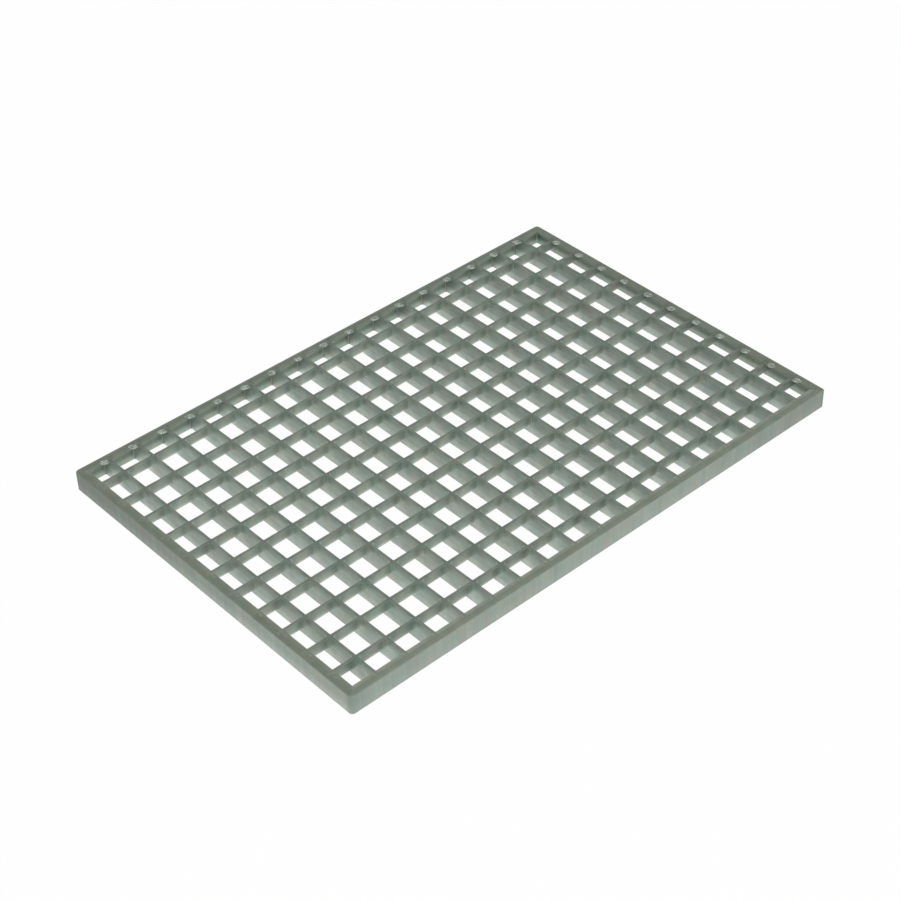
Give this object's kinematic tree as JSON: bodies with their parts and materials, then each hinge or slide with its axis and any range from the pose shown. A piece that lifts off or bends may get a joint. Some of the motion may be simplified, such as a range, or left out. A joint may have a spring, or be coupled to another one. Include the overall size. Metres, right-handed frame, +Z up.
{
  "type": "steel grating panel",
  "caption": "Rectangular pressed steel grating panel: deep flat bearing bars crossed by shallower flat bars, inside an angle edge strip, galvanised.",
  "frame": {"origin": "centre of the underside, on the plane the panel rests on", "axes": "+Z up through the walking surface, +X along the panel's length and its cross bars, +Y along its width and its bearing bars"},
  "size_m": [0.6, 0.4, 0.022],
  "materials": {
    "bar_zinc": "hot-dip galvanised, dull grey-green zinc with soft runs",
    "strip_zinc": "hot-dip galvanised, light grey-green zinc streaked down the web, darker on the top leg"
  },
  "bodies": {
    "root": {"bar_grid": "bar_zinc", "edge_strip": "strip_zinc"}
  },
  "joints": []
}
